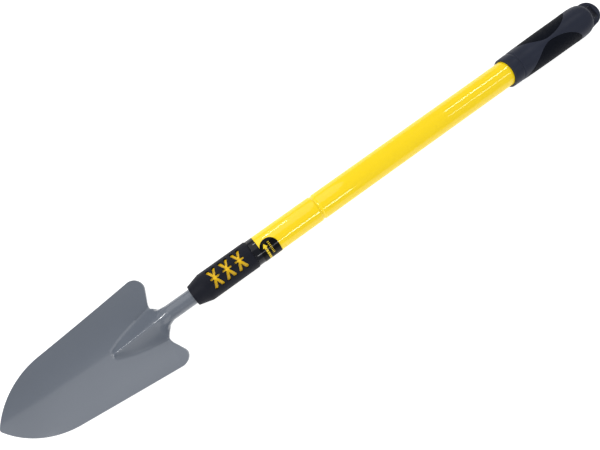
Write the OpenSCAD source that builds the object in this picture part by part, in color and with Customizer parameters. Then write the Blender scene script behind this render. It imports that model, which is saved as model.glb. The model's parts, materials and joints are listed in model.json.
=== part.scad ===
// Hand trowel with a telescopic handle that locks with a twist.
// The tool lies along X: the blade points to -X, the grip to +X, and the open side of the blade faces +Z.
// The origin is the centre of the hang slot, on the axis of the handle.

/* [Handle] */
// Outside diameter of the handle tube
tube_d = 24; // [23:0.5:25]
// Distance from the hang slot to the front of the handle tube
tube_reach = 379.5; // [370:0.5:400]
// Length of the grip in front of the hang slot
grip_len = 104; // [96:1:112]
// Wall of the handle tube
tube_wall = 1; // [0.8:0.1:1.2]

/* [Blade] */
// Length of the blade from its tip to the inner corners of its ears
blade_l = 140.6; // [130:0.2:160]
// Width of the blade across its ears
blade_w = 84.4; // [80:0.2:90]
// Width of the blade at its shoulders
shoulder_w = 65.6; // [62:0.2:68]
// Thickness of the pressed sheet
sheet = 1.8; // [1.4:0.1:2.2]
// Depth of the dish at the ears
dish = 13; // [8:0.5:16]

/* [Twist lock] */
// Distance that the head slides out of the handle
travel = 255; // [200:1:256]
// Lead of the expander thread
pitch = 2; // [1.5:0.25:2]
// Running clearance on a radius
slip = 0.05; // [0.03:0.01:0.08]

/* [Hang slot] */
// Width of the slot along the handle
slot_w = 6; // [4:0.5:6]
// Length of the slot across the handle
slot_l = 14; // [10:0.5:14]

/* [Hidden] */
$fn = 96;
seat = 0.03;                         // gap between pieces that are pressed or glued together

yellow = [0.98, 0.86, 0.14];
slate = [0.20, 0.21, 0.27];
black = [0.08, 0.08, 0.11];
steel = [0.62, 0.65, 0.69];
nylon = [0.88, 0.87, 0.82];

tube_r = tube_d / 2;
bore_r = tube_r - tube_wall;

// Expander, from the plug back to the stop nut
inner_back = -63;
flange_t = 3;
washer_gap = slip;
sleeve_front = -58;
sleeve_back = -34;
sleeve_r = bore_r - slip;
stud_r = 3;
cone_small_r = 4;
cone_big_r = 8.2;
cone_start = sleeve_front + 6;
cone_head = 3;
cone_travel = 1.5 * pitch;           // one and a half turns of the thread
nut_x = sleeve_back + cone_head + cone_travel + 0.1;
nut_t = 4;

// Handle
tube_front = -tube_reach;
tube_back = -22;
bead_w = 2;                          // rolled groove that stops the expander
bead_x = sleeve_front - travel - bead_w / 2 - 4;
bead_depth = 0.5;
bead_bore_r = bore_r - 0.7;
band_len = 6.7;                      // the part of the mouth bush that shows
bush_front = tube_front - band_len;
spigot_len = 17.5;
grip_front = -grip_len;
grip_back = -8.3;

// Grip pads are cut by a circle seen from above
pad_x = -58;
pad_web = 1.5;                       // half the bare strip between the two pads
pad_arc_r = 51;
pad_depth = 1.2;
pad_proud = 0.15;

// End cap
cap_spigot_r = 9;
cap_disc_r = 11.9;
cap_t = 8;
cap_arc_r = 12.2;
cap_arc_x = -4.7;

// Head
inner_r = bore_r - 1;
inner_bore_r = inner_r - 1;
neck_r = 7;
neck_bore_r = 5;
collar_r = tube_r + 0.6;
core_r = tube_r - 1.1;
collar_back = bush_front - slip;
collar_shoulder = bush_front - 47.8; // where the nose of the sleeve starts to taper
collar_front = bush_front - 60.2;
nose_r = 9.2;
neck_end = bush_front - 28.3;        // back end of the rolled neck, inside the collar
inner_front = bush_front - 25.8;
pin_r = 2;
pin_len = 21;
window_pitch = 12.1;
window_x = bush_front - 12.6;        // centre of the rearmost window
window_count = 3;

// Blade outline
notch_x = bush_front - 98.6;         // inner corner of each ear
tip_x = notch_x - blade_l;
notch_y = 15.1;
neck_x = notch_x + 15.1;             // where the sheet has become the round neck
ear_x = notch_x + 9.2;               // back end of the ears
half_w = blade_w / 2;
ear_r = 8;
side_slope = 0.1044;
shoulder_x = notch_x - (half_w - shoulder_w / 2) / side_slope;
side_turn = atan(side_slope);
// Two arcs make the point: each is tangent to a straight side and ends at the blunt tip
tip_half = 1;
point_dx = shoulder_x - tip_x;
point_dy = shoulder_w / 2 - tip_half;
point_r = (point_dx ^ 2 + point_dy ^ 2) / (2 * (point_dy * cos(side_turn) - point_dx * sin(side_turn)));
arc_cx = shoulder_x + point_r * sin(side_turn);
arc_cy = shoulder_w / 2 - point_r * cos(side_turn);

// Dish and tongue of the blade
ear_z = -0.8;                        // height of the side edges at the ears
tip_rise = 9.4;                      // how much the edges climb from there to the tip, more and more steeply
nose_x = notch_x - 43.6;             // front end of the raised tongue
strip = 2.6;                         // half width of the grid's middle strip ahead of the tongue
seam_r = neck_r - 0.4;               // radius on which the sheet ends inside the neck's wall

rows = 26;                           // grid of the sheet: tip to notch
mid_cols = 3;
cols = 11;
tongue_rows = 5;
ear_rows = 4;

// Lengths along the tool, from front to back
module along(x) { translate([x, 0, 0]) rotate([0, 90, 0]) children(); }
module rod(x0, x1, r) { along(x0) cylinder(h = x1 - x0, r = r); }
module tube(x0, x1, r_out, r_in) {
    difference() {
        rod(x0, x1, r_out);
        rod(x0 - 1, x1 + 1, r_in);
    }
}
// A profile of [x, radius] points turned about the tool's axis
module turned(points) {
    rotate([0, 90, 0]) rotate_extrude() polygon([for (p = points) [p[1], p[0]]]);
}

// ---- Blade ----
function mix(a, b, t) = a + (b - a) * t;
// Half width of the blade at x: an arc to the shoulder, then a straight side
function side_y(x) =
    x < shoulder_x
        ? arc_cy + sqrt(point_r ^ 2 - (x - arc_cx) ^ 2)
        : shoulder_w / 2 + side_slope * (x - shoulder_x);
function tongue_y(x) = max(strip, notch_y * (max(0, x - nose_x) / (notch_x - nose_x)) ^ 0.5);
function strip_y(x) = min(tongue_y(x), 0.4 * side_y(x));
// The dish has the same curve across it everywhere, so it gets shallower as the blade narrows
function edge_z(x) = ear_z + tip_rise * ((notch_x - x) / blade_l) ^ 2;
function dish_z(x, y) = edge_z(x) - dish * (side_y(x) ^ 2 - y ^ 2) / half_w ^ 2;
function ridge_line(x) = mix(-6.5, seam_r, (x - nose_x) / (neck_x - nose_x));
function ridge_rise(x) =
    let(u = max(0, min(1, (x - nose_x) / 9)))
    (ridge_line(x) - dish_z(x, 0)) * sqrt(1 - (1 - u) ^ 2);
function sheet_z(x, y) = dish_z(x, y) + ridge_rise(x) * max(0, 1 - abs(y) / strip_y(x));
// Back edge of an ear: a straight run that meets the round corner
function ear_edge(y) =
    let(cy = half_w - ear_r,
        corner = notch_x + (ear_x - notch_x) * sqrt(max(0, 1 - ((y - cy) / ear_r) ^ 2)),
        t_y = cy - 0.42 * ear_r,
        t_x = notch_x + (ear_x - notch_x) * 0.907)
    y > t_y ? corner : mix(notch_x, t_x, (y - notch_y) / (t_y - notch_y));

function col_y(x, j) =
    let(n = abs(j), s = sign(j), a = strip_y(x), b = side_y(x))
    n <= mid_cols ? s * a * n / mid_cols : s * mix(a, b, sin(90 * (n - mid_cols) / (cols - mid_cols)));
function row_x(i) = mix(tip_x, notch_x, (i / rows) ^ 1.25);
function main_point(i, j) = let(x = row_x(i), y = col_y(x, j)) [x, y, sheet_z(x, y)];
// The tongue narrows from the notch to the neck while its roof becomes an arc
function tongue_point(k, j) =
    let(u = k / tongue_rows, v = j / mid_cols, x = mix(notch_x, neck_x, u),
        y = v * mix(seam_r * 0.97, notch_y, (1 - u) ^ 1.45),
        roof = sheet_z(notch_x, v * notch_y) + ridge_line(x) - ridge_line(notch_x),
        arc = sqrt(seam_r ^ 2 - (v * seam_r * 0.97) ^ 2))
    [x, y, mix(roof, arc, u ^ 1.5)];
function ear_point(k, j) =
    let(y = col_y(notch_x, j), x = mix(notch_x, ear_edge(abs(y)), k / ear_rows))
    [x, y, sheet_z(notch_x, y) + (x - notch_x) * 0.03];

wide = 2 * cols + 1;
mid = 2 * mid_cols + 1;
inner_cols = cols - mid_cols - 1;
tongue_at = (rows + 1) * wide;
ear_at = tongue_at + tongue_rows * mid;
layer = ear_at + 2 * ear_rows * inner_cols;
function id_main(i, j) = i * wide + j + cols;
function id_tongue(k, j) = k == 0 ? id_main(rows, j) : tongue_at + (k - 1) * mid + j + mid_cols;
// side is 1 or -1, and j counts outward from the notch
function id_ear(k, j, side) =
    k == 0 || j == mid_cols || j == cols
        ? id_main(rows, side * j)
        : ear_at + (side > 0 ? 0 : ear_rows * inner_cols) + (k - 1) * inner_cols + j - mid_cols - 1;
function quad(a, b, c, d) =
    [for (t = [[a, b, c], [a, c, d]]) if (t[0] != t[1] && t[1] != t[2] && t[2] != t[0]) t];
function flipped(faces, step) = [for (f = faces) [f[2] + step, f[1] + step, f[0] + step]];

module pressed_sheet() {
    upper = concat(
        [for (i = [0:rows], j = [-cols:cols]) main_point(i, j)],
        [for (k = [1:tongue_rows], j = [-mid_cols:mid_cols]) tongue_point(k, j)],
        [for (s = [1, -1], k = [1:ear_rows], j = [mid_cols + 1:cols - 1]) ear_point(k, s * j)]);
    lower = [for (p = upper) [p[0], p[1], p[2] - sheet]];
    top = concat(
        [for (i = [0:rows - 1], j = [-cols:cols - 1])
            each quad(id_main(i, j), id_main(i, j + 1), id_main(i + 1, j + 1), id_main(i + 1, j))],
        [for (k = [0:tongue_rows - 1], j = [-mid_cols:mid_cols - 1])
            each quad(id_tongue(k, j), id_tongue(k, j + 1), id_tongue(k + 1, j + 1), id_tongue(k + 1, j))],
        [for (k = [0:ear_rows - 1], j = [mid_cols:cols - 1])
            each quad(id_ear(k, j, 1), id_ear(k, j + 1, 1), id_ear(k + 1, j + 1, 1), id_ear(k + 1, j, 1))],
        [for (k = [0:ear_rows - 1], j = [mid_cols:cols - 1])
            each quad(id_ear(k, j, -1), id_ear(k + 1, j, -1), id_ear(k + 1, j + 1, -1), id_ear(k, j + 1, -1))]);
    rim = concat(
        [for (j = [-cols:cols - 1]) id_main(0, j)],
        [for (i = [0:rows - 1]) id_main(i, cols)],
        [for (j = [cols:-1:mid_cols + 1]) id_ear(ear_rows, j, 1)],
        [for (k = [0:tongue_rows - 1]) id_tongue(k, mid_cols)],
        [for (j = [mid_cols:-1:1 - mid_cols]) id_tongue(tongue_rows, j)],
        [for (k = [tongue_rows:-1:1]) id_tongue(k, -mid_cols)],
        [for (j = [mid_cols:cols]) id_ear(ear_rows, j, -1)],
        [for (i = [rows - 1:-1:1]) id_main(i, -cols)]);
    walls = [for (n = [0:len(rim) - 1])
        let(a = rim[n], b = rim[(n + 1) % len(rim)])
        each quad(b, a, a + layer, b + layer)];
    polyhedron(concat(upper, lower), concat(top, flipped(top, layer), walls));
}

module cross_hole(x, r) {
    translate([x, 0, 0]) rotate([90, 0, 0]) cylinder(h = 4 * tube_r, r = r, center = true);
}
front_pin_x = neck_end - 11.5;
back_pin_x = inner_front + 13;

module blade() {
    color(steel) {
        pressed_sheet();
        difference() {
            tube(neck_x - 2, neck_end, neck_r, neck_bore_r);
            cross_hole(front_pin_x, pin_r + seat);
        }
    }
}

// ---- Collar ----
module collar_core() {
    color(yellow) difference() {
        rod(collar_shoulder, collar_back, core_r);
        rod(collar_shoulder - 1, neck_end + seat, neck_r + seat);
        rod(inner_front - seat, collar_back + 1, inner_r + seat);
        cross_hole(front_pin_x, pin_r + seat);
        cross_hole(back_pin_x, pin_r + seat);
    }
}

// An opening of four rounded petals and two short side lobes
module petal_window() {
    for (a = [20, -20, 160, -160]) rotate(a) {
        translate([0, 4]) square([2.3, 8], center = true);
        translate([0, 7.8]) circle(r = 1.6);
    }
    square([6.8, 2.4], center = true);
    for (s = [1, -1]) translate([s * 3.4, 0]) circle(r = 1.2);
}

module collar_sleeve() {
    color(black) difference() {
        union() {
            rod(collar_shoulder, collar_back, collar_r);
            along(collar_front) cylinder(h = collar_shoulder - collar_front, r1 = nose_r, r2 = collar_r);
        }
        rod(collar_shoulder - seat, collar_back + 1, core_r + seat);
        rod(collar_front - 1, collar_shoulder, neck_r + slip);
        for (n = [0:window_count - 1], side = [0, 180])
            translate([window_x - n * window_pitch, 0, 0]) rotate([side, 0, 0])
                linear_extrude(height = 2 * tube_r) petal_window();
    }
}

module collar_pins() {
    color(steel) for (x = [front_pin_x, back_pin_x])
        translate([x, 0, 0]) rotate([90, 0, 0]) cylinder(h = pin_len, r = pin_r, center = true);
}

module inner_tube() {
    color(steel) difference() {
        tube(inner_front, inner_back, inner_r, inner_bore_r);
        cross_hole(back_pin_x, pin_r + seat);
        cross_hole(plug_pin_x, plug_pin_r + seat);
    }
}

// ---- Expander ----
plug_back = inner_back + flange_t;
plug_front = inner_back - 23;
stud_front = plug_back - 12;
stud_back = nut_x + nut_t + 0.5;
plug_pin_x = plug_front + 6;
plug_pin_r = 1.5;

module expander_plug() {
    color(nylon) difference() {
        union() {
            rod(plug_front, plug_back, inner_bore_r - seat);
            rod(inner_back + seat, plug_back, inner_r - slip);
        }
        rod(stud_front - seat, plug_back + 1, stud_r + seat);
        cross_hole(plug_pin_x, plug_pin_r + seat);
    }
}

module plug_pin() {
    color(steel) translate([plug_pin_x, 0, 0]) rotate([90, 0, 0])
        cylinder(h = 2 * inner_r - 0.4, r = plug_pin_r, center = true);
}

module expander_stud() { color(steel) rod(stud_front, stud_back, stud_r); }

module thrust_washer() {
    color(steel) tube(plug_back + washer_gap, sleeve_front - washer_gap, inner_r - 0.5, stud_r + slip);
}

module stop_nut() {
    color(steel) difference() {
        along(nut_x) cylinder(h = nut_t, r = 5.77, $fn = 6);
        rod(nut_x - 1, nut_x + nut_t + 1, stud_r + seat);
    }
}

// Split sleeve that the cone spreads against the inside of the handle tube
module expander_sleeve() {
    slit = 2;
    color(nylon) difference() {
        turned([[sleeve_front, cone_small_r], [sleeve_front, sleeve_r], [sleeve_back, sleeve_r],
            [sleeve_back, cone_big_r], [cone_start, cone_small_r]]);
        translate([sleeve_front - 1, -slit / 2, 0]) cube([sleeve_back - sleeve_front + 2, slit, 2 * tube_r]);
    }
}

module expander_cone() {
    small = cone_start + 2;
    small_r = mix(cone_small_r, cone_big_r, (small - cone_start) / (sleeve_back - cone_start)) - slip;
    color(black) difference() {
        union() {
            along(small) cylinder(h = sleeve_back - small, r1 = small_r, r2 = cone_big_r - slip);
            rod(sleeve_back, sleeve_back + cone_head, cone_big_r - slip);
        }
        rod(small - 1, sleeve_back + cone_head + 1, stud_r + slip);
    }
}

// ---- Handle ----
module outer_tube() {
    color(yellow) difference() {
        tube(tube_front, tube_back, tube_r, bore_r);
        tube(bead_x - bead_w / 2, bead_x + bead_w / 2, tube_r + 1, tube_r - bead_depth);
    }
    color(yellow) tube(bead_x - bead_w / 2, bead_x + bead_w / 2, tube_r - bead_depth, bead_bore_r);
}

module mouth_bush() {
    color(black) difference() {
        union() {
            rod(bush_front, tube_front - seat, tube_r);
            rod(bush_front, tube_front + spigot_len, bore_r - seat);
        }
        rod(bush_front - 1, tube_front + spigot_len + 1, inner_r + slip);
    }
}

// Sticker with round ends, wrapped over the mouth of the tube from near the top to under its -Y side
module tighten_label() {
    label_r = 8.5;
    side_r = label_r - 0.05;
    label_x = tube_front + 7.6;
    label_t = 0.25;
    turns = [29, 74, 119];
    color(black) intersection() {
        tube(label_x - 2 * label_r, label_x + 2 * label_r, tube_r + seat + label_t, tube_r + seat);
        union() {
            for (turn = [turns[0], turns[2]])
                translate([label_x, 0, 0]) rotate([turn, 0, 0]) cylinder(h = 2 * tube_r, r = label_r);
            along(label_x - side_r) rotate([0, 0, 90]) linear_extrude(height = 2 * side_r)
                polygon([[0, 0], for (turn = turns) 2 * tube_r * [-sin(turn), cos(turn)]]);
        }
    }
}

// Radius of the grip's skin: nearly straight, a swell near the back, then a round end
swell = 0.2 * (grip_len - 104) / 8;
skin = [[grip_front + 0.6, 14.2], [pad_x, 14.95], [-26, 15.1 + swell], [-20, 15.4], [-14.5, 15.1],
    [-11, 14.3], [-9.3, 13.4], [grip_back, 12.3]];
function grown(points, d) = [for (p = points) [p[0], p[1] + d]];

module skin_shell(outer, inner) {
    turned(concat(grown(skin, outer), [for (n = [len(skin) - 1:-1:0]) grown(skin, inner)[n]]));
}

// The region that one pad covers; side is 1 for the left pad (+Y), -1 for the right
module pad_region(side, gap) {
    translate([pad_x, side * (pad_arc_r + pad_web), 0])
        cylinder(h = 4 * tube_r, r = pad_arc_r + gap, center = true);
}

module grip_core() {
    groove_x = grip_front + 10.5;
    color(slate) difference() {
        turned(concat([[grip_front, tube_r + seat], [grip_front, 13.6]], skin, [[grip_back, cap_spigot_r + seat],
            [tube_back + seat, cap_spigot_r + seat], [tube_back + seat, tube_r + seat]]));
        tube(groove_x - 0.8, groove_x + 0.8, 20, 13.8);
        for (side = [1, -1]) intersection() {
            skin_shell(1, -pad_depth);
            pad_region(side, seat);
        }
    }
}

module grip_pad(side) {
    color(black) intersection() {
        skin_shell(pad_proud, seat - pad_depth);
        pad_region(side, 0);
    }
}
module grip_pad_left() { grip_pad(1); }
module grip_pad_right() { grip_pad(-1); }

module hang_slot() {
    shift = (slot_l - slot_w) / 2;
    linear_extrude(height = 4 * tube_r, center = true) {
        square([slot_w, slot_l - slot_w], center = true);
        for (s = [1, -1]) translate([0, s * shift]) circle(d = slot_w);
    }
}

module end_cap() {
    cap_front = grip_back + 0.05;
    color(slate) difference() {
        union() {
            rod(tube_back + 2, cap_front + 1, cap_spigot_r);
            rod(cap_front, cap_front + 1.2, cap_disc_r);
            linear_extrude(height = cap_t, center = true) intersection() {
                translate([cap_arc_x, 0]) circle(r = cap_arc_r);
                translate([cap_front, -cap_arc_r]) square([20, 2 * cap_arc_r]);
            }
        }
        hang_slot();
    }
}

blade();
collar_core();
collar_sleeve();
collar_pins();
inner_tube();
expander_plug();
plug_pin();
expander_stud();
thrust_washer();
stop_nut();
expander_sleeve();
expander_cone();
outer_tube();
mouth_bush();
tighten_label();
grip_core();
grip_pad_left();
grip_pad_right();
end_cap();
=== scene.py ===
"""Looks of the telescopic hand trowel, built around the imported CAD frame.

The tool lies along X: the blade points to -X, the grip to +X, and the open side of the blade faces +Z.
Shapes are worked out in millimetres from the CAD boxes, and become metres when a mesh is made.
"""

import json
import math

import bmesh
import bpy
from mathutils import Matrix, Vector


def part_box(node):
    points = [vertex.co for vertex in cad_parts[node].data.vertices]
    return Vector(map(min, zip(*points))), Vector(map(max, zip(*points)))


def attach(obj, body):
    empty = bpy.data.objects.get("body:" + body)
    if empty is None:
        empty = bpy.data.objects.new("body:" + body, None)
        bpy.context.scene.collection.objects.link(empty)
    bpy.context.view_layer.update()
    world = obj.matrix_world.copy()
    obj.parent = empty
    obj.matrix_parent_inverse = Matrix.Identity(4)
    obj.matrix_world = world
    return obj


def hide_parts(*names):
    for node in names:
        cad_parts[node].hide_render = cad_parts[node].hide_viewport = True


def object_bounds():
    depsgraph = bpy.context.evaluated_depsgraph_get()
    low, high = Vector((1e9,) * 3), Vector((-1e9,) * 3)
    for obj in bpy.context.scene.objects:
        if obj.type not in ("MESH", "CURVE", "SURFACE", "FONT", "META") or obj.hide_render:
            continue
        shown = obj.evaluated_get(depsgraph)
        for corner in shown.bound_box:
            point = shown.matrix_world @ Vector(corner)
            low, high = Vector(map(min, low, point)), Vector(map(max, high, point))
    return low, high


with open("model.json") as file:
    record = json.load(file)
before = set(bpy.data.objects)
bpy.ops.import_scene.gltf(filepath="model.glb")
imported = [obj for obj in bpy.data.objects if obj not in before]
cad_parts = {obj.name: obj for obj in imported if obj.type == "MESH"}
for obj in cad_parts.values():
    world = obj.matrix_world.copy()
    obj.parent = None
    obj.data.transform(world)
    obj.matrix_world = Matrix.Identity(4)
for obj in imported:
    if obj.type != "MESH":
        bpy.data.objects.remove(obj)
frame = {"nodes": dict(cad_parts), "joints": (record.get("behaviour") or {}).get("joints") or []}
cad_box = [list(corner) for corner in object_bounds()]

MM = 0.001
SEGMENTS = 128                       # points round a turned piece
SHARP = math.radians(38)             # edges steeper than this stay crisp


# ---------------------------------------------------------------- helpers
def span(node):
    """Lowest and highest x of a CAD node, in mm."""
    low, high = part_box(node)
    return low.x / MM, high.x / MM


def radius(node):
    """Half the height of a CAD node about the tool's axis, in mm."""
    low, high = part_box(node)
    return (high.z - low.z) / 2 / MM


def mix(a, b, t):
    return a + (b - a) * t


def clamp(t):
    return max(0.0, min(1.0, t))


def ease(t):
    t = clamp(t)
    return t * t * (3 - 2 * t)


def make_piece(name, points, faces, body, node, material, uvs=None):
    """A mesh from points in mm, riding on a body. It takes the place of a CAD node, unless node is None.

    uvs, if given, is one (u, v) in mm per point.
    """
    mesh = bpy.data.meshes.new(name)
    mesh.from_pydata([Vector(p) * MM for p in points], [], faces)
    mesh.validate()
    if uvs:
        layer = mesh.uv_layers.new(name="surface_mm")
        for loop in mesh.loops:
            layer.data[loop.index].uv = uvs[loop.vertex_index]
    piece = bpy.data.objects.new(name, mesh)
    bpy.context.scene.collection.objects.link(piece)
    soften(piece)
    mesh.materials.append(material)
    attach(piece, body)
    if node:
        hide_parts(node)
    return piece


def soften(piece, angle=SHARP):
    """Smooth shading, with the steep edges kept crisp and all normals outward."""
    work = bmesh.new()
    work.from_mesh(piece.data)
    bmesh.ops.recalc_face_normals(work, faces=work.faces)
    for face in work.faces:
        face.smooth = True
    for edge in work.edges:
        edge.smooth = not edge.is_manifold or edge.calc_face_angle(0) < angle
    work.to_mesh(piece.data)
    work.free()


def apply_modifier(piece, kind, **settings):
    """Adds a modifier, applies it to the mesh and leaves none behind."""
    modifier = piece.modifiers.new(kind, kind)
    for key, value in settings.items():
        setattr(modifier, key, value)
    bpy.context.view_layer.update()
    graph = bpy.context.evaluated_depsgraph_get()
    mesh = bpy.data.meshes.new_from_object(piece.evaluated_get(graph))
    piece.modifiers.clear()
    piece.data = mesh


def filleted(corners, steps=4):
    """A closed profile of (x, r, fillet) corners, each rounded with its own fillet radius."""
    points = []
    count = len(corners)
    for n, (x, r, fillet) in enumerate(corners):
        here = Vector((x, r))
        before = Vector(corners[n - 1][:2]) - here
        after = Vector(corners[(n + 1) % count][:2]) - here
        if fillet <= 0 or before.length < 1e-6 or after.length < 1e-6:
            points.append((x, r))
            continue
        half = before.angle(after) / 2
        cut = min(fillet / math.tan(half), 0.45 * before.length, 0.45 * after.length)
        start = here + before.normalized() * cut
        end = here + after.normalized() * cut
        for k in range(steps + 1):
            t = k / steps
            bend = start.lerp(here, t).lerp(here.lerp(end, t), t)
            points.append((bend.x, bend.y))
    return points


def turned(profile, segments=SEGMENTS):
    """Points, faces and surface coordinates of a closed profile turned about the tool's axis."""
    points, faces, uvs = [], [], []
    count = len(profile)
    for x, r in profile:
        for k in range(segments):
            turn = 2 * math.pi * k / segments
            points.append((x, r * math.sin(turn), r * math.cos(turn)))
            uvs.append((x, r * turn))
    for n in range(count):
        for k in range(segments):
            a = n * segments
            b = (n + 1) % count * segments
            k2 = (k + 1) % segments
            faces.append((a + k, a + k2, b + k2, b + k))
    return points, faces, uvs


def grid_faces(rows, cols, closed=False):
    """Quads between neighbouring rows of a grid of points; closed joins the last column to the first."""
    faces = []
    for i in range(rows - 1):
        for j in range(cols if closed else cols - 1):
            a = i * cols
            b = a + cols
            j2 = (j + 1) % cols
            faces.append((a + j, a + j2, b + j2, b + j))
    return faces


# ---------------------------------------------------------------- materials
def linear(red, green, blue):
    """A display colour of 0 to 255 as the linear colour that shaders use."""
    def channel(value):
        value /= 255
        return value / 12.92 if value <= 0.04045 else ((value + 0.055) / 1.055) ** 2.4
    return (channel(red), channel(green), channel(blue), 1)


class Shader:
    """A principled material and short calls that add nodes to it."""

    def __init__(self, name, color, rough, metal=0.0, coat=0.0, coat_rough=0.1, specular=0.5):
        self.material = bpy.data.materials.new(name)
        self.material.use_nodes = True
        self.nodes = self.material.node_tree.nodes
        self.links = self.material.node_tree.links
        self.main = self.nodes["Principled BSDF"]
        self.rough = rough
        self.set("Base Color", color)
        self.set("Roughness", rough)
        self.set("Metallic", metal)
        self.set("Coat Weight", coat)
        self.set("Coat Roughness", coat_rough)
        self.set("Specular IOR Level", specular)
        self.normal = None
        self.place = self.nodes.new("ShaderNodeTexCoord").outputs["Object"]

    def set(self, name, value):
        self.main.inputs[name].default_value = value

    def noise(self, per_metre, detail, stretch=(1, 1, 1)):
        """Noise of 0 to 1 with about so many spots per metre, scaled along each axis by stretch."""
        mapping = self.nodes.new("ShaderNodeMapping")
        mapping.inputs["Scale"].default_value = stretch
        self.links.new(self.place, mapping.inputs["Vector"])
        texture = self.nodes.new("ShaderNodeTexNoise")
        texture.inputs["Scale"].default_value = per_metre
        texture.inputs["Detail"].default_value = detail
        self.links.new(mapping.outputs["Vector"], texture.inputs["Vector"])
        return texture.outputs["Fac"]

    def ramp(self, source, low, high, start=0.0, end=1.0):
        """Maps a value from low..high to start..end, clamped."""
        node = self.nodes.new("ShaderNodeMapRange")
        for name, value in (("From Min", low), ("From Max", high), ("To Min", start), ("To Max", end)):
            node.inputs[name].default_value = value
        self.links.new(source, node.inputs["Value"])
        return node.outputs["Result"]

    def multiply(self, a, b):
        node = self.nodes.new("ShaderNodeMath")
        node.operation = "MULTIPLY"
        self.links.new(a, node.inputs[0])
        self.links.new(b, node.inputs[1])
        return node.outputs[0]

    def tint(self, factor, other):
        """Mixes the base colour towards another colour by a factor."""
        node = self.nodes.new("ShaderNodeMix")
        node.data_type = "RGBA"
        base = self.main.inputs["Base Color"]
        if base.is_linked:
            self.links.new(base.links[0].from_socket, node.inputs["A"])
        else:
            node.inputs["A"].default_value = base.default_value
        node.inputs["B"].default_value = other
        self.links.new(factor, node.inputs["Factor"])
        self.links.new(node.outputs["Result"], base)

    def mottle(self, per_metre, detail, low, high, amount, other):
        """Patches of another colour, up to an amount, where a noise runs from low to high."""
        self.tint(self.ramp(self.noise(per_metre, detail), low, high, 0, amount), other)

    def wear_and_highlight(self, start, other):
        """Another colour on sharp outer edges, part wear and part painted highlight, from where their
        sharpness passes start.
        """
        point = self.nodes.new("ShaderNodeNewGeometry").outputs["Pointiness"]
        wear_and_sheen = self.ramp(point, 0.52, 0.6)
        self.tint(self.ramp(wear_and_sheen, start, 1, 0, 0.35), other)

    def vary_rough(self, per_metre, detail, amount):
        """Roughness swings about its set value by an amount, with a noise."""
        swing = self.ramp(self.noise(per_metre, detail), 0.3, 0.7, self.rough - amount, self.rough + amount)
        self.links.new(swing, self.main.inputs["Roughness"])

    def bump(self, height, depth_mm, strength):
        """Fine relief of a given depth, laid over any earlier relief."""
        node = self.nodes.new("ShaderNodeBump")
        node.inputs["Strength"].default_value = strength
        node.inputs["Distance"].default_value = depth_mm * MM
        self.links.new(height, node.inputs["Height"])
        if self.normal:
            self.links.new(self.normal, node.inputs["Normal"])
        self.normal = node.outputs["Normal"]
        self.links.new(self.normal, self.main.inputs["Normal"])


def scale_color(color, factor):
    """A linear colour made brighter or darker, and no brighter than white."""
    return tuple(min(1, c * factor) for c in color[:3]) + (1,)


def coated_steel():
    """Satin grey-blue coat on the pressed blade, paler at its sharp edges and ridge: part wear, part
    painted highlight.
    """
    base = linear(97, 104, 115)
    shader = Shader("blade_coat", base, 0.4, coat=0.85, coat_rough=0.13, specular=0.35)
    shader.mottle(22, 4, 0.35, 0.7, 0.3, scale_color(base, 1.1))
    shader.mottle(2600, 2, 0.55, 0.75, 0.2, scale_color(base, 0.85))
    shader.vary_rough(60, 5, 0.05)
    shader.bump(shader.noise(1400, 3), 0.02, 0.12)
    # paler sharp edges: part wear, part painted highlight on the ridge and rims
    shader.wear_and_highlight(0.2, linear(150, 153, 158))
    return shader.material


def yellow_coat():
    """Glossy yellow powder coat with a little orange peel."""
    base = linear(252, 218, 8)
    shader = Shader("yellow_coat", base, 0.35, coat=0.4, coat_rough=0.03, specular=0.05)
    shader.set("Coat IOR", 1.95)
    shader.mottle(14, 4, 0.4, 0.7, 0.2, linear(250, 210, 6))
    shader.bump(shader.noise(520, 2), 0.02, 0.08)
    shader.vary_rough(90, 4, 0.06)
    return shader.material


def yellow_plastic():
    """Smooth yellow nylon of the collar's core."""
    base = linear(250, 200, 12)
    shader = Shader("yellow_nylon", base, 0.38, specular=0.3)
    shader.mottle(90, 4, 0.4, 0.7, 0.3, linear(240, 186, 10))
    shader.bump(shader.noise(1500, 2), 0.02, 0.4)
    return shader.material


def soft_dark(name, base, rough, grain, light=None):
    """Matt elastomer or plastic with a fine moulded grain, and paler edges, part wear and part painted
    highlight, if a light colour is given.
    """
    shader = Shader(name, base, rough, specular=0.12)
    shader.mottle(35, 4, 0.4, 0.7, 0.4, scale_color(base, 1.3))
    shader.bump(shader.noise(grain, 3), 0.03, 0.4)
    shader.vary_rough(120, 4, 0.06)
    if light:
        shader.wear_and_highlight(0.1, light)
    return shader.material


def pad_rubber():
    """Black grip rubber with a fine diamond pattern, its grooves darkened with painted shade."""
    base = linear(11, 15, 25)
    shader = Shader("pad_rubber", base, 0.62, specular=0.06)
    shader.mottle(60, 4, 0.4, 0.7, 0.4, scale_color(base, 1.5))
    where = shader.nodes.new("ShaderNodeUVMap").outputs["UV"]
    weave = []
    for turn in (45, -45):
        mapping = shader.nodes.new("ShaderNodeMapping")
        mapping.inputs["Rotation"].default_value = (0, 0, math.radians(turn))
        shader.links.new(where, mapping.inputs["Vector"])
        wave = shader.nodes.new("ShaderNodeTexWave")
        wave.wave_profile = "SIN"
        wave.inputs["Scale"].default_value = 0.32
        shader.links.new(mapping.outputs["Vector"], wave.inputs["Vector"])
        weave.append(wave.outputs["Fac"])
    knurl = shader.multiply(*weave)
    shader.bump(knurl, 0.25, 0.8)
    # painted shade: darker in the grooves of the diamond pattern
    shader.tint(shader.ramp(knurl, 0.2, 0.8, 0.3, 0), linear(6, 7, 9))
    return shader.material


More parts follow.
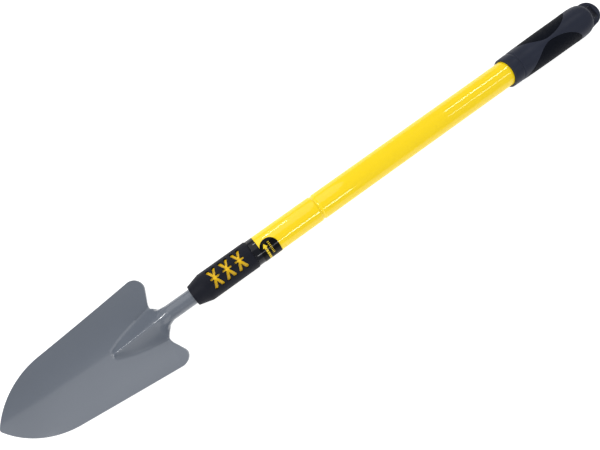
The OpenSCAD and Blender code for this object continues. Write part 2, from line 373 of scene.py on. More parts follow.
def gloss_black():
    """Glossy black plastic of the guide bush."""
    base = linear(10, 13, 21)
    shader = Shader("band_black", base, 0.35, coat=0.5, coat_rough=0.05, specular=0.04)
    shader.mottle(200, 3, 0.4, 0.7, 0.4, scale_color(base, 1.6))
    shader.bump(shader.noise(900, 2), 0.01, 0.3)
    shader.vary_rough(150, 3, 0.05)
    return shader.material


def label_film():
    """Black printed film of the sticker."""
    base = linear(6, 6, 9)
    shader = Shader("label_film", base, 0.4, coat=0.2, coat_rough=0.1, specular=0.03)
    shader.mottle(300, 3, 0.4, 0.7, 0.4, scale_color(base, 1.8))
    shader.bump(shader.noise(700, 2), 0.01, 0.3)
    return shader.material


def label_ink():
    """Yellow print on the sticker."""
    base = linear(240, 208, 50)
    shader = Shader("label_ink", base, 0.4, specular=0.2)
    shader.mottle(900, 3, 0.45, 0.7, 0.4, linear(214, 180, 34))
    shader.bump(shader.noise(2500, 2), 0.01, 0.3)
    return shader.material


def bright_steel(name, rough):
    """Plated steel drawn along its length."""
    base = linear(196, 198, 202)
    shader = Shader(name, base, rough, metal=1.0)
    drawn = shader.noise(900, 4, stretch=(0.02, 1, 1))
    shader.tint(shader.ramp(drawn, 0.4, 0.7, 0, 0.35), linear(150, 152, 158))
    shader.bump(drawn, 0.01, 0.4)
    shader.vary_rough(70, 4, 0.08)
    return shader.material


def plain_nylon(name, base, rough):
    """Unpainted moulded plastic of the parts inside."""
    shader = Shader(name, base, rough)
    shader.mottle(120, 4, 0.4, 0.7, 0.35, scale_color(base, 0.82))
    shader.bump(shader.noise(1600, 3), 0.03, 0.5)
    shader.vary_rough(200, 3, 0.06)
    return shader.material


STEEL_COAT = coated_steel()
YELLOW = yellow_coat()
YELLOW_NYLON = yellow_plastic()
COLLAR = soft_dark("collar_rubber", linear(22, 24, 33), 0.55, 1100)
# the grip's last colour is for its paler edges: part wear, part painted highlight
GRIP = soft_dark("grip_plastic", linear(37, 41, 54), 0.46, 1600, linear(80, 84, 97))
PAD = pad_rubber()
BAND = gloss_black()
FILM = label_film()
INK = label_ink()
PLATED = bright_steel("plated_steel", 0.28)
TUBE_STEEL = bright_steel("inner_tube_steel", 0.2)
NYLON = plain_nylon("natural_nylon", linear(226, 222, 208), 0.45)
ACETAL = plain_nylon("black_acetal", linear(28, 28, 31), 0.4)

# ---------------------------------------------------------------- sizes read from the frame, in mm
tip_x, neck_end = span("blade")
collar_front, collar_back = span("collar_sleeve")
tube_front, tube_back = span("outer_tube")
bush_front, bush_back = span("mouth_bush")
grip_front, grip_back = span("grip_core")
cap_front, cap_back = span("end_cap")
inner_front, inner_back = span("inner_tube")
tube_r = radius("outer_tube")
collar_r = radius("collar_sleeve")
core_r = radius("collar_core")
inner_r = radius("inner_tube")
half_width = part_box("blade")[1].y / MM
travel = next(joint["range_m"][1] for joint in frame["joints"] if joint["name"] == "telescope") / MM
NECK_R = 7.0
SHEET = 1.8                          # thickness of the blade
WALL = 1.0                           # thickness of both tubes
GAP = 0.03                           # left between pieces that fit over one another


# ---------------------------------------------------------------- blade
BLADE_L = 140.6                      # from the tip to the inner corners of the ears
SHOULDER_Y = 32.8                    # half width where the straight sides end and the point begins
SIDE_SLOPE = 0.1044
NOTCH_Y = 15.1                       # half width of the tongue between the ears
EAR_R = 8.0                          # round corner of an ear
EAR_CLIMB = 0.03                     # slope of the ears towards the grip
DISH = 13.0                          # depth at the ears
EAR_Z = -0.8                         # height of the side edges at the ears
TIP_RISE = 9.4                       # how much the edges climb from there to the tip, more and more steeply
notch_x = tip_x + BLADE_L
neck_x = notch_x + 15.1
ear_x = notch_x + 9.2
nose_x = notch_x - 43.6              # front end of the raised tongue
NOSE_Y = 3.2                         # half width of the tongue's nose
NOSE_Z = -6.5                        # height of the ridge line at the nose
NOSE_RUN = 6.0                       # length over which the nose rises
NOSE_SOFT = 0.35                     # how round the ridge is at the nose, as a share of the half width
RIDGE_SOFT = 0.1                     # how round it is farther back
SOFT_RUN = 7.0                       # length over which it changes from one to the other
GIRTH = 20.6                         # from the ridge to the edge, measured round the rolled sheet
SEAM_GAP = math.radians(6)           # half the open seam under the neck
ROLL_POWER = 1.45                    # how early the tongue narrows towards the neck
INNER, OUTER = 20, 34                # columns from the ridge to the crease, and from there to the edge
COLUMNS = INNER + OUTER
shoulder_x = notch_x - (half_width - SHOULDER_Y) / SIDE_SLOPE

# Two arcs make the point: each is tangent to a straight side and ends at the blunt tip
TIP_HALF = 1.0
side_turn = math.atan(SIDE_SLOPE)
point_dx = shoulder_x - tip_x
point_dy = SHOULDER_Y - TIP_HALF
point_sag = point_dy * math.cos(side_turn) - point_dx * math.sin(side_turn)
point_r = (point_dx ** 2 + point_dy ** 2) / (2 * point_sag)
arc_x = shoulder_x + point_r * math.sin(side_turn)
arc_y = SHOULDER_Y - point_r * math.cos(side_turn)


def side_y(x):
    """Half width of the blade."""
    if x >= shoulder_x:
        return SHOULDER_Y + SIDE_SLOPE * (x - shoulder_x)
    return arc_y + math.sqrt(point_r ** 2 - (x - arc_x) ** 2)


def tongue_y(x):
    """Half width of the raised tongue; ahead of its nose, where it is flat, it narrows with the blade."""
    share = clamp((x - nose_x) / (notch_x - nose_x))
    return min(max(NOSE_Y, NOTCH_Y * share ** 0.5), 0.4 * side_y(x))


def dish_z(x, y):
    """Height of the dish: the same curve across it everywhere, so it gets shallower towards the tip."""
    edge = EAR_Z + TIP_RISE * ((notch_x - x) / BLADE_L) ** 2
    return edge - DISH * (side_y(x) ** 2 - y ** 2) / half_width ** 2


def ridge_z(x):
    """Height of the ridge line, which climbs from the nose to the top of the neck."""
    return mix(NOSE_Z, NECK_R, (x - nose_x) / (neck_x - nose_x))


def tongue_height(x):
    """Height of the ridge over the floor; it rises from the nose in a quarter round."""
    share = clamp((x - nose_x) / NOSE_RUN)
    return (ridge_z(x) - dish_z(x, 0)) * math.sqrt(1 - (1 - share) ** 2)


def soft_roof(v, ridge):
    """1 at the ridge, 0 at the creases and beyond, both rounded."""
    crease = 0.09
    slope = 1 - (math.sqrt(v * v + ridge * ridge) - ridge)
    return (slope + math.sqrt(slope * slope + crease * crease)) / 2 - crease / 2


def sheet_z(x, y):
    """Height of the sheet's upper side: the dish with the tongue on it."""
    ridge = mix(NOSE_SOFT, RIDGE_SOFT, ease((x - nose_x) / SOFT_RUN))
    return dish_z(x, y) + tongue_height(x) * max(0, soft_roof(abs(y) / tongue_y(x), ridge))


def ear_edge(y):
    """Back edge of an ear: a straight run that meets the round corner."""
    in_share, back_share = 0.42, 0.907    # where they meet, as shares of the corner's size
    centre = half_width - EAR_R
    meet_y = centre - in_share * EAR_R
    meet_x = mix(notch_x, ear_x, back_share)
    if y < meet_y:
        return mix(notch_x, meet_x, (y - NOTCH_Y) / (meet_y - NOTCH_Y))
    return mix(notch_x, ear_x, math.sqrt(max(0, 1 - ((y - centre) / EAR_R) ** 2)))


def notch_fill(y):
    """How far the sheet rounds off the corner between the tongue and an ear."""
    most, reach = 1.8, 5.0
    return most * max(0, 1 - abs(abs(y) - NOTCH_Y) / reach) ** 2


def column(x, j):
    """Y of column j at x: even steps over the tongue, then closer together towards the edge."""
    n = abs(j)
    crease = tongue_y(x)
    y = crease * n / INNER
    if n > INNER:
        y = mix(crease, side_y(x), math.sin(math.pi / 2 * (n - INNER) / OUTER))
    return math.copysign(y, j)


def roll_points(x, u, v):
    """Upper and lower points of the rolling sheet: a roof at u = 0 that is the round neck at u = 1."""
    ring_r = NECK_R + (NOTCH_Y - NECK_R) * (1 - u) ** ROLL_POWER
    crown = ridge_z(min(x, neck_x))
    drop = (ridge_z(notch_x) - sheet_z(notch_x, v * NOTCH_Y)) * ring_r / NOTCH_Y
    roof = Vector((v * ring_r, crown - drop))
    turn = v * min(math.pi - SEAM_GAP, GIRTH / ring_r)
    way = Vector((math.sin(turn), math.cos(turn)))
    centre = Vector((0, crown - ring_r))
    curl = ease(1.1 * u)
    top = roof.lerp(centre + way * ring_r, curl)
    under = (roof - Vector((0, SHEET))).lerp(centre + way * (ring_r - SHEET), curl)
    filled_x = x + notch_fill(v * NOTCH_Y) * (1 - u) ** 2
    return (filled_x, *top), (filled_x, *under)


def blade_surface():
    """The sheet's upper and lower points and its upper faces: dish, ears, tongue and the rolled neck."""
    rows, roll_rows, neck_rows, ear_rows, fill_rows = 150, 26, 14, 12, 4
    upper, lower, lookup, faces = [], [], {}, []

    def put(key, point, under=None):
        lookup[key] = len(upper)
        upper.append(point)
        lower.append(under or (point[0], point[1], point[2] - SHEET))

    for i in range(rows + 1):
        x = mix(tip_x, notch_x, (i / rows) ** 1.2)
        for j in range(-COLUMNS, COLUMNS + 1):
            y = column(x, j)
            fill = notch_fill(y) * clamp((i - rows + fill_rows) / fill_rows)
            put(("main", i, j), (x + fill, y, sheet_z(x, y)))
    for side in (1, -1):
        for k in range(1, ear_rows + 1):
            for j in range(INNER + 1, COLUMNS):
                y = column(notch_x, j)
                x = mix(notch_x, ear_edge(y), k / ear_rows) + notch_fill(y)
                put((side, k, j), (x, side * y, sheet_z(notch_x, y) + EAR_CLIMB * (x - notch_x)))
    for k in range(1, roll_rows + neck_rows + 1):
        u = clamp(k / roll_rows)
        x = mix(notch_x, neck_x, u)
        if k > roll_rows:
            x = mix(neck_x, neck_end, (k - roll_rows) / neck_rows)
        for j in range(-INNER, INNER + 1):
            put(("roll", k, j), *roll_points(x, u, j / INNER))

    def main(i, j):
        return lookup["main", i, j]

    def ear(side, k, j):
        if k == 0 or j in (INNER, COLUMNS):
            return main(rows, side * j)
        return lookup[side, k, j]

    def roll(k, j):
        return main(rows, j) if k == 0 else lookup["roll", k, j]

    def add(*corners):
        kept = list(dict.fromkeys(corners))
        if len(kept) > 2:
            faces.append(kept)

    for i in range(rows):
        for j in range(-COLUMNS, COLUMNS):
            add(main(i, j), main(i + 1, j), main(i + 1, j + 1), main(i, j + 1))
    for side in (1, -1):
        for k in range(ear_rows):
            for j in range(INNER, COLUMNS):
                loop = [ear(side, k, j), ear(side, k + 1, j), ear(side, k + 1, j + 1), ear(side, k, j + 1)]
                add(*loop[::side])
    for k in range(roll_rows + neck_rows):
        for j in range(-INNER, INNER):
            add(roll(k, j), roll(k + 1, j), roll(k + 1, j + 1), roll(k, j + 1))
    return upper, lower, faces


def build_blade():
    """The pressed sheet: its upper side, the same side again below it, and a rim between their edges."""
    upper, lower, faces = blade_surface()
    shift = len(upper)
    sides = {(a, b) for face in faces for a, b in zip(face, face[1:] + face[:1])}
    rim = [(b, a, a + shift, b + shift) for a, b in sides if (b, a) not in sides]
    faces += [[n + shift for n in reversed(face)] for face in faces] + sorted(rim)
    sheet = make_piece("blade_sheet", upper + lower, faces, "head", "blade", STEEL_COAT)
    apply_modifier(sheet, "BEVEL", width=0.45 * MM, segments=3, limit_method="ANGLE",
                   angle_limit=math.radians(55))
    soften(sheet)


build_blade()


# ---------------------------------------------------------------- turned pieces
def build_tube():
    """Handle tube with its rolled stop groove, which the expander meets at the end of its travel."""
    groove_x = span("expander_sleeve")[0] - travel - 5
    rim_front, rim_back = groove_x - 1.8, groove_x + 1.8
    floor_front, floor_back = groove_x - 0.7, groove_x + 0.7
    inside = tube_r - WALL
    floor_r, bead_r = tube_r - 0.7, inside - 0.65
    outline = [
        (tube_front, tube_r, 0.3), (rim_front, tube_r, 0.8), (floor_front, floor_r, 0.6),
        (floor_back, floor_r, 0.6), (rim_back, tube_r, 0.8), (tube_back, tube_r, 0.3),
        (tube_back, inside, 0.3), (rim_back, inside, 0.6), (floor_back, bead_r, 0.5),
        (floor_front, bead_r, 0.5), (rim_front, inside, 0.6), (tube_front, inside, 0.3)]
    points, faces, uvs = turned(filleted(outline, 6))
    make_piece("handle_tube", points, faces, "handle", "outer_tube", YELLOW, uvs)


def build_bush():
    """Guide bush: a flange as wide as the tube, and a spigot inside it."""
    inside = inner_r + 0.05
    spigot = tube_r - WALL - GAP
    seat_x = tube_front - GAP
    outline = [
        (bush_front, tube_r, 0.5), (tube_front - 0.9, tube_r, 0.25), (tube_front - 0.7, tube_r, 0.1),
        (seat_x, tube_r, 0.2), (seat_x, spigot, 0), (bush_back, spigot, 0.4),
        (bush_back, inside, 0.2), (bush_front, inside, 0.4)]
    points, faces, uvs = turned(filleted(outline))
    make_piece("mouth_guide", points, faces, "handle", "mouth_bush", BAND, uvs)


def build_inner_tube():
    """Plain tube that slides in the bush."""
    inside = inner_r - WALL
    outline = [
        (inner_front, inner_r, 0.3), (inner_back, inner_r, 0.3), (inner_back, inside, 0.2),
        (inner_front, inside, 0.2)]
    points, faces, uvs = turned(filleted(outline))
    make_piece("sliding_tube", points, faces, "head", "inner_tube", TUBE_STEEL, uvs)


build_tube()
build_bush()
build_inner_tube()


# ---------------------------------------------------------------- collar sleeve
WINDOW_PITCH = 12.1
WINDOW_COUNT = 3
window_x = bush_front - 12.6
PETAL_TURN = 20                      # degrees from straight across to each petal
PETAL_REACH = 9.0                    # from the window's centre to the round end of a petal


def petal_outline():
    """Outline of one opening, as (x, y) in mm about its centre: four club petals and two short lobes."""
    def arm(turn, reach, waist, head):
        """One club: its waist's two corners, with the round head between them."""
        arc = [(reach + head * math.cos(a), head * math.sin(a))
               for a in (math.radians(d) for d in range(-100, 101, 20))]
        root = reach * 0.4
        c, s = math.cos(math.radians(turn)), math.sin(math.radians(turn))
        return [(c * a - s * b, s * a + c * b) for a, b in [(root, -waist), *arc, (root, waist)]]

    petal = (PETAL_REACH, 1.2, 1.6)
    lobe = (3.3, 1.0, 1.2)
    arms = [(90 - PETAL_TURN, petal), (90 + PETAL_TURN, petal), (180, lobe),
            (270 - PETAL_TURN, petal), (270 + PETAL_TURN, petal), (360, lobe)]
    points = []
    for turn, sizes in arms:
        points += arm(turn, *sizes)
    return points


def window_cutter(centre, turn):
    """A prism over one opening, wrapped to the sleeve: x along the tool, y round it."""
    outline = petal_outline()
    low, high = core_r - 0.5, collar_r + 1.5
    count = len(outline)
    points = []
    for r in (low, high):
        for x, around in outline:
            angle = turn + around / collar_r
            points.append((centre + x, r * math.sin(angle), r * math.cos(angle)))
    faces = [(n, (n + 1) % count, count + (n + 1) % count, count + n) for n in range(count)]
    faces.append(tuple(range(count - 1, -1, -1)))
    faces.append(tuple(range(count, 2 * count)))
    mesh = bpy.data.meshes.new("cutter")
    mesh.from_pydata([Vector(p) * MM for p in points], [], faces)
    work = bmesh.new()
    work.from_mesh(mesh)
    bmesh.ops.recalc_face_normals(work, faces=work.faces)
    bmesh.ops.triangulate(work, faces=[f for f in work.faces if len(f.verts) > 4])
    work.to_mesh(mesh)
    work.free()
    cutter = bpy.data.objects.new("cutter", mesh)
    bpy.context.scene.collection.objects.link(cutter)
    return cutter


def build_sleeve():
    """Soft sleeve of the collar, with three openings on top and three underneath."""
    shoulder = bush_front - 47.8
    nose_r = 9.2
    neck_hole = NECK_R + 0.1
    inside = core_r + GAP
    outline = [
        (collar_front, nose_r, 0.6), (shoulder, collar_r, 2.0), (collar_back - 1.2, collar_r, 0.6),
        (collar_back, collar_r - 0.55, 0.3), (collar_back, inside, 0.1), (shoulder, inside, 0.1),
        (shoulder, neck_hole, 0.1), (collar_front, neck_hole, 0.3)]
    points, faces, uvs = turned(filleted(outline, 5), 192)
    sleeve = make_piece("collar_grip", points, faces, "head", "collar_sleeve", COLLAR, uvs)
    for turn in (0, math.pi):
        for n in range(WINDOW_COUNT):
            cutter = window_cutter(window_x - n * WINDOW_PITCH, turn)
            apply_modifier(sleeve, "BOOLEAN", object=cutter, operation="DIFFERENCE", solver="EXACT")
            bpy.data.objects.remove(cutter)
    apply_modifier(sleeve, "BEVEL", width=0.22 * MM, segments=2, limit_method="ANGLE",
                   angle_limit=math.radians(50))
    soften(sleeve, math.radians(45))


build_sleeve()


# ---------------------------------------------------------------- grip
PAD_FRONT = -92.3
PAD_BACK = -23.3
PAD_PEAK = -58.5                     # where the pads are widest
WEB_DEG = 6.0                        # half the bare strip between the pads, at its narrowest
PAD_DEPTH = 1.2                      # depth of a pad's recess
PAD_PROUD = 0.12                     # how far a pad stands out of it
SKIN_POINTS = [                      # (x, radius) of the grip's skin
    (-104, 14.2), (-80, 14.65), (-57, 14.95), (-30, 15.05), (-25, 15.2), (-20, 15.35),
    (-14.5, 15.05), (-11, 14.3), (-9.3, 13.4), (-8.3, 12.5)]


def skin_r(x):
    """Radius of the grip's skin: a smooth curve through its few points."""
    points = SKIN_POINTS
    if x <= points[0][0]:
        return points[0][1]
    for n in range(len(points) - 1):
        if x <= points[n + 1][0]:
            x0, r0 = points[n]
            x1, r1 = points[n + 1]
            before = points[max(n - 1, 0)]
            after = points[min(n + 2, len(points) - 1)]
            m0 = (r1 - before[1]) / (x1 - before[0])
            m1 = (after[1] - r0) / (after[0] - x0)
            h = x1 - x0
            t = (x - x0) / h
            return ((2 * t ** 3 - 3 * t ** 2 + 1) * r0 + (t ** 3 - 2 * t ** 2 + t) * h * m0
                    + (3 * t ** 2 - 2 * t ** 3) * r1 + (t ** 3 - t ** 2) * h * m1)
    return points[-1][1]


def pad_half_angle(x):
    """Half the angle that a pad covers at x: a long point in front, a round end behind."""
    full = math.radians(90 - WEB_DEG)
    if x <= PAD_PEAK:
        t = clamp((x - PAD_FRONT) / (PAD_PEAK - PAD_FRONT))
        share = mix(math.sin(math.pi / 2 * t), ease(t), 0.3)
    else:
        t = clamp((PAD_BACK - x) / (PAD_BACK - PAD_PEAK))
        share = math.sqrt(1 - (1 - t) ** 2) ** 1.15
    return full * share


def grip_point(x, r, turn):
    """The point at x and radius r, turned from the top towards +Y."""
    return (x, r * math.sin(turn), r * math.cos(turn))


def build_grip():
    """Grip body: its columns follow the pads' outlines, so each recess has a clean wall."""
    web, floor = 20, 44              # columns across a web and across a recess
    rows = []
    groove_x = grip_front + 10.5
    groove_half, groove_depth, groove_side = 0.95, 0.55, 1.6
    back_x = grip_back - 1.2

    def ring(x, r, pad=False):
        """Adds one row of points round the tool, sunk where the pads are."""
        half = max(pad_half_angle(x), math.radians(1.0))
        sunk = PAD_DEPTH if pad else 0.0
        loop = []
        for centre in (0, math.pi):
            w = math.pi / 2 - half
            for k in range(web + 1):
                loop.append((r, centre + mix(-w, w, k / web)))
            for k in range(floor + 1):
                loop.append((r - sunk, centre + mix(w, math.pi - w, k / floor)))
        rows.append([grip_point(x, rr, a) for rr, a in loop])

    bore, seat = tube_r + GAP, 9.0 + GAP
    front = [(tube_back + GAP, bore, 0), (grip_front, bore, 0.2), (grip_front, 14.2, 0.7),
             (grip_front + 3, 14.25, 0)]
    back = [(back_x, skin_r(back_x), 0), (grip_back, skin_r(grip_back) - 0.2, 0.4),
            (grip_back, seat, 0.2), (tube_back + GAP, seat, 0)]
    for x, r in filleted(front):
        ring(x, r)
    for step in (-groove_side, -0.9, -0.5, 0, 0.5, 0.9, groove_side):
        dip = groove_depth * max(0, 1 - (step / groove_half) ** 2)
        ring(groove_x + step, skin_r(groove_x + step) - dip)
    count = 90
    for k in range(1, count):
        x = mix(groove_x + groove_side, back_x, k / count)
        ring(x, skin_r(x), PAD_FRONT + 0.3 < x < PAD_BACK - 0.3)
    for x, r in filleted(back):
        ring(x, r)
    cols = len(rows[0])
    points = [p for row in rows for p in row]
    faces = grid_faces(len(rows), cols, closed=True)
    last = (len(rows) - 1) * cols
    faces += [(last + j, last + (j + 1) % cols, (j + 1) % cols, j) for j in range(cols)]
    make_piece("grip_body", points, faces, "handle", "grip_core", GRIP)


def build_pad(name, node, side):
    """One soft pad: a curved skin with rounded rims over a sunk underside."""
    rows, cols = 110, 60
    rim, rim_drop = 0.7, 0.45        # width of the rounded rim and how far it falls
    top, under, uvs = [], [], []
    start, end = PAD_FRONT + 0.4, PAD_BACK - 0.4
    for i in range(rows + 1):
        x = mix(start, end, (1 - math.cos(math.pi * i / rows)) / 2)
        half = max(pad_half_angle(x) - math.radians(0.15), math.radians(0.8))
        r = skin_r(x)
        for j in range(cols + 1):
            v = -math.cos(math.pi * j / cols)
            turn = side * math.pi / 2 + v * half
            edge = min((1 - abs(v)) * half * r, x - start, end - x)
            drop = rim_drop * (1 - clamp(edge / rim)) ** 2
            top.append(grip_point(x, r + PAD_PROUD - drop, turn))
            under.append(grip_point(x, r - PAD_DEPTH + 0.05, turn))
            uvs.append((x, r * turn))
    points = top + under
    shift = len(top)
    faces = grid_faces(rows + 1, cols + 1)
    faces += [tuple(n + shift for n in face[::-1]) for face in faces]
    loop = list(range(cols))
    loop += [i * (cols + 1) + cols for i in range(rows)]
    loop += [rows * (cols + 1) + j for j in range(cols, 0, -1)]
    loop += [i * (cols + 1) for i in range(rows, 0, -1)]
    for n, a in enumerate(loop):
        b = loop[(n + 1) % len(loop)]
        faces.append((a, b, b + shift, a + shift))
    make_piece(name, points, faces, "handle", node, PAD, uvs * 2)


build_grip()
build_pad("left_pad", "grip_pad_left", 1)
build_pad("right_pad", "grip_pad_right", -1)


# ---------------------------------------------------------------- end cap
SLOT_W = 6.0
SLOT_L = 14.0


def build_cap():
    """Hang loop: a rounded section swept between the slot and the outline, with the seat behind it."""
    base = grip_back + 0.05
    half_thick = 4.0
    seat_r = 11.9
    spigot_r = 9.0
    arc_r = 12.2
    arc_c = cap_back - arc_r
    steps = 160

    def outer(turn):
        """Distance from the slot's centre to the outline in one direction."""
        c = math.cos(turn)
        b = -arc_c * c
        reach = -b + math.sqrt(max(0, b * b - (arc_c ** 2 - arc_r ** 2)))
        return min(reach, base / c) if c < 0 else reach

    def inner(turn):
        """Distance from the slot's centre to the slot's wall in one direction."""
        c, s = math.cos(turn), math.sin(turn)
        r, shift = SLOT_W / 2, (SLOT_L - SLOT_W) / 2
        if abs(c) > 1e-9 and abs(s / c) * r <= shift:
            return r / abs(c)
        b = -shift * abs(s)
        return -b + math.sqrt(max(0, b * b - (shift * shift - r * r)))

    section = [                      # (share of the way out, share of the half thickness)
        (0.0, -0.72), (0.06, -0.93), (0.16, -1.0), (0.5, -1.0), (0.84, -1.0), (0.94, -0.93),
        (1.0, -0.72), (1.0, 0.0), (1.0, 0.72), (0.94, 0.93), (0.84, 1.0), (0.5, 1.0),
        (0.16, 1.0), (0.06, 0.93), (0.0, 0.72), (0.0, 0.0)]
    points = []
    for k in range(steps):
        turn = 2 * math.pi * k / steps
        near, far = inner(turn), outer(turn)
        for across, up in section:
            d = mix(near, far, across)
            points.append((d * math.cos(turn), d * math.sin(turn), up * half_thick))
    faces = grid_faces(steps, len(section), closed=True)
    count = len(section)
    last = (steps - 1) * count
    faces += [(last + j, last + (j + 1) % count, (j + 1) % count, j) for j in range(count)]
    first = len(points)
    seat, seat_faces, _ = turned(filleted([
        (cap_front, 0.02, 0), (cap_front, spigot_r, 0.6), (base, spigot_r, 0), (base, seat_r, 0.15),
        (base + 1.2, seat_r, 0.4), (base + 1.2, 0.02, 0)]), 96)
    points += seat
    faces += [tuple(n + first for n in face) for face in seat_faces]
    make_piece("hang_loop", points, faces, "handle", "end_cap", GRIP)


build_cap()


# ---------------------------------------------------------------- label
LABEL_R = 8.5
LABEL_TURN = math.radians(-29)       # its upper round end, from the top of the tube towards -Y
LABEL_WRAP = math.radians(90)        # from there to its other round end
label_x = tube_front + 7.6


def on_tube(x, around, lift):
    """A point on the tube's skin: x along it, around in mm from the label's centre line."""
    turn = LABEL_TURN + around / tube_r
    r = tube_r + lift
    return (x, r * math.sin(turn), r * math.cos(turn))


def patch(name, width_at, low, high, step, lift, thick, material, node=None):
    """A thin piece wrapped on the tube from low to high; width_at gives its two x limits on the way."""
    points, faces = [], []
    count = int(round((high - low) / step))
    across = 12
    for n in range(count + 1):
        around = mix(low, high, n / count)
        left, right = width_at(around)
        for layer in (lift + thick, lift):
            for m in range(across + 1):
                points.append(on_tube(mix(left, right, m / across), around, layer))
    width = 2 * (across + 1)
    for n in range(count):
        a, b = n * width, (n + 1) * width
        for m in range(across):
            faces.append((a + m, a + m + 1, b + m + 1, b + m))
            low_a, low_b = a + across + 1, b + across + 1
            faces.append((low_a + m + 1, low_a + m, low_b + m, low_b + m + 1))
        faces.append((a, b, b + across + 1, a + across + 1))
        faces.append((a + across, a + 2 * across + 1, b + 2 * across + 1, b + across))
    for row in (0, count):
        a = row * width
        for m in range(across):
            faces.append((a + m, a + m + 1, a + across + 2 + m, a + across + 1 + m))
    make_piece(name, points, faces, "handle", node, material)


def build_label():
    """Black film with round ends, and on it a broken arrow and a row of plain ticks."""
    wrap = LABEL_WRAP * tube_r
    film_lift, film_thick = 0.03, 0.2
    ink_lift, ink_thick = 0.24, 0.04
    arrow_x = label_x - 3.0
    head_half, head_start, head_tip = 2.3, 1.9, 5.3
    shaft_half, bar_long, bar_pitch = 1.0, 1.9, 2.5
    tick_x = label_x + 1.3
    tick_half, tick_long, tick_pitch = 0.9, 0.55, 1.55

    def film(around):
        past = max(around, -wrap - around, 0)
        half = math.sqrt(max(0.02, LABEL_R ** 2 - past ** 2))
        return label_x - half, label_x + half

    def head(around):
        half = max(0.05, head_half * (head_tip - around) / (head_tip - head_start))
        return arrow_x - half, arrow_x + half

    def shaft(around):
        return arrow_x - shaft_half, arrow_x + shaft_half

    def tick(around):
        return tick_x - tick_half, tick_x + tick_half

    patch("turn_label", film, -wrap - LABEL_R + 0.01, LABEL_R - 0.01, 0.3, film_lift, film_thick, FILM,
          "tighten_label")
    patch("turn_arrow_head", head, head_start, head_tip, 0.2, ink_lift, ink_thick, INK)
    for n in range(6):
        high = 2.1 - bar_pitch * n
        patch(f"turn_arrow_bar_{n + 1}", shaft, high - bar_long, high, 0.3, ink_lift, ink_thick, INK)
    for n in range(8):
        high = 5.0 - tick_pitch * n
        patch(f"turn_tick_{n + 1}", tick, high - tick_long, high, 0.28, ink_lift, ink_thick, INK)


build_label()

# ---------------------------------------------------------------- CAD pieces that keep their own shape
finishes = {
    "collar_core": YELLOW_NYLON,
    "collar_pins": PLATED,
    "expander_plug": NYLON,
    "plug_pin": PLATED,
    "expander_stud": PLATED,
    "thrust_washer": PLATED,
    "stop_nut": PLATED,
    "expander_sleeve": NYLON,
    "expander_cone": ACETAL,
}
for node, material in finishes.items():
    part = frame["nodes"][node]
    part.data.materials.clear()
    part.data.materials.append(material)


# ---------------------------------------------------------------- floor, light and camera
def build_floor():
    """White floor, level with the lowest point of the CAD model."""
    low = min(cad_box[0][2], cad_box[1][2])
    size = 6.0
    mesh = bpy.data.meshes.new("floor")
    mesh.from_pydata([(-size, -size, low), (size, -size, low), (size, size, low), (-size, size, low)],
                     [], [(0, 1, 2, 3)])
    floor = bpy.data.objects.new("floor", mesh)
    bpy.context.scene.collection.objects.link(floor)
    shader = Shader("floor_white", (0.5, 0.5, 0.5, 1), 0.9, specular=0.1)
    shader.bump(shader.noise(30, 2), 0.05, 0.1)
    shader.set("Emission Color", (1, 1, 1, 1))
    shader.set("Emission Strength", 0.85)    # washes out the tool's shadow
    mesh.materials.append(shader.material)


def panel(name, tilt_deg, first, last, width, glow):
    """A light parallel to the tool, from x first to x last, tilted round it from above towards +Y."""
    tilt = math.radians(tilt_deg)
    distance = 1.6
    data = bpy.data.lights.new(name, "AREA")
    data.shape = "RECTANGLE"
    data.size = last - first
    data.size_y = width
    data.energy = glow * math.pi * width * (last - first)
    light = bpy.data.objects.new(name, data)
    way = Vector((0, math.sin(tilt), math.cos(tilt)))
    place = Vector(((first + last) / 2, 0, 0)) + way * distance
    side = Vector((1, 0, 0))
    facing = Matrix((side, way.cross(side), way)).transposed().to_4x4()
    light.visible_camera = False
    light.matrix_world = Matrix.Translation(place) @ facing
    bpy.context.scene.collection.objects.link(light)


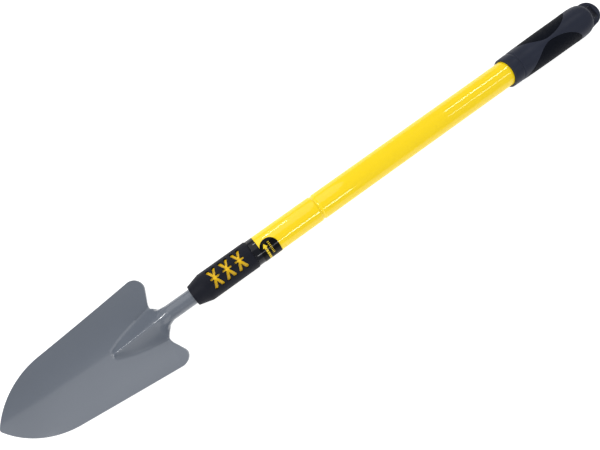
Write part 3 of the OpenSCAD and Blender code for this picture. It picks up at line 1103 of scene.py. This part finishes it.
def build_light():
    """Strips for the crisp lines on the tube and the blade, and wide soft panels for the blade's sides."""
    panels = [                       # name, tilt in degrees, first x, last x, width, glow
        ("front_left", 50, -0.36, -0.17, 0.14, 17),
        ("front_right", -51, -0.45, 0.07, 0.14, 15),
        ("back_left", 26, 0.6, 1.3, 0.14, 16),
        ("back_right", -29, 0.6, 1.3, 0.14, 7),
        ("ridge", 18, -1.97, -1.6, 0.3, 40),
        ("nose", 12, -3.4, -2.4, 0.5, 12),
        ("soft_left", 38, -1.2, 0.05, 2.1, 1.0),
        ("tongue_right", -72, -2.1, -1.1, 2.1, 1.05)]
    for settings in panels:
        panel(*settings)


def build_world():
    """Soft white light from all round; the camera sees it as bright as the floor."""
    fill, backdrop = 0.42, 1.0
    world = bpy.data.worlds.new("studio")
    world.use_nodes = True
    tree = world.node_tree
    background = tree.nodes["Background"]
    background.inputs["Color"].default_value = (1, 1, 1, 1)
    strength = tree.nodes.new("ShaderNodeMapRange")
    strength.inputs["To Min"].default_value = fill
    strength.inputs["To Max"].default_value = backdrop
    seen = tree.nodes.new("ShaderNodeLightPath").outputs["Is Camera Ray"]
    tree.links.new(seen, strength.inputs["Value"])
    tree.links.new(strength.outputs["Result"], background.inputs["Strength"])
    bpy.context.scene.world = world
    bpy.context.scene.view_settings.view_transform = "Standard"


def build_camera():
    """Looks down on the tool with the grip end a little farther off, and from its -Y side."""
    data = bpy.data.cameras.new("camera")
    data.sensor_width = 36
    data.lens = 36
    camera = bpy.data.objects.new("camera", data)
    lean, roll, climb = math.radians(8), math.radians(10), math.radians(35.54)
    distance = 0.514
    aim = Vector((-0.3388, -0.0036, 0))
    down = -math.sqrt(1 - math.sin(lean) ** 2 - math.sin(roll) ** 2)
    view = Vector((math.sin(lean), math.sin(roll), down)).normalized()
    along = Vector((1, 0, 0))
    along = (along - view * along.dot(view)).normalized()
    across = (-view).cross(along)
    right = along * math.cos(climb) - across * math.sin(climb)
    up = along * math.sin(climb) + across * math.cos(climb)
    turn = Matrix((right, up, -view)).transposed().to_4x4()
    camera.matrix_world = Matrix.Translation(aim - view * distance) @ turn
    bpy.context.scene.collection.objects.link(camera)
    bpy.context.scene.camera = camera


build_floor()
build_light()
build_world()
build_camera()
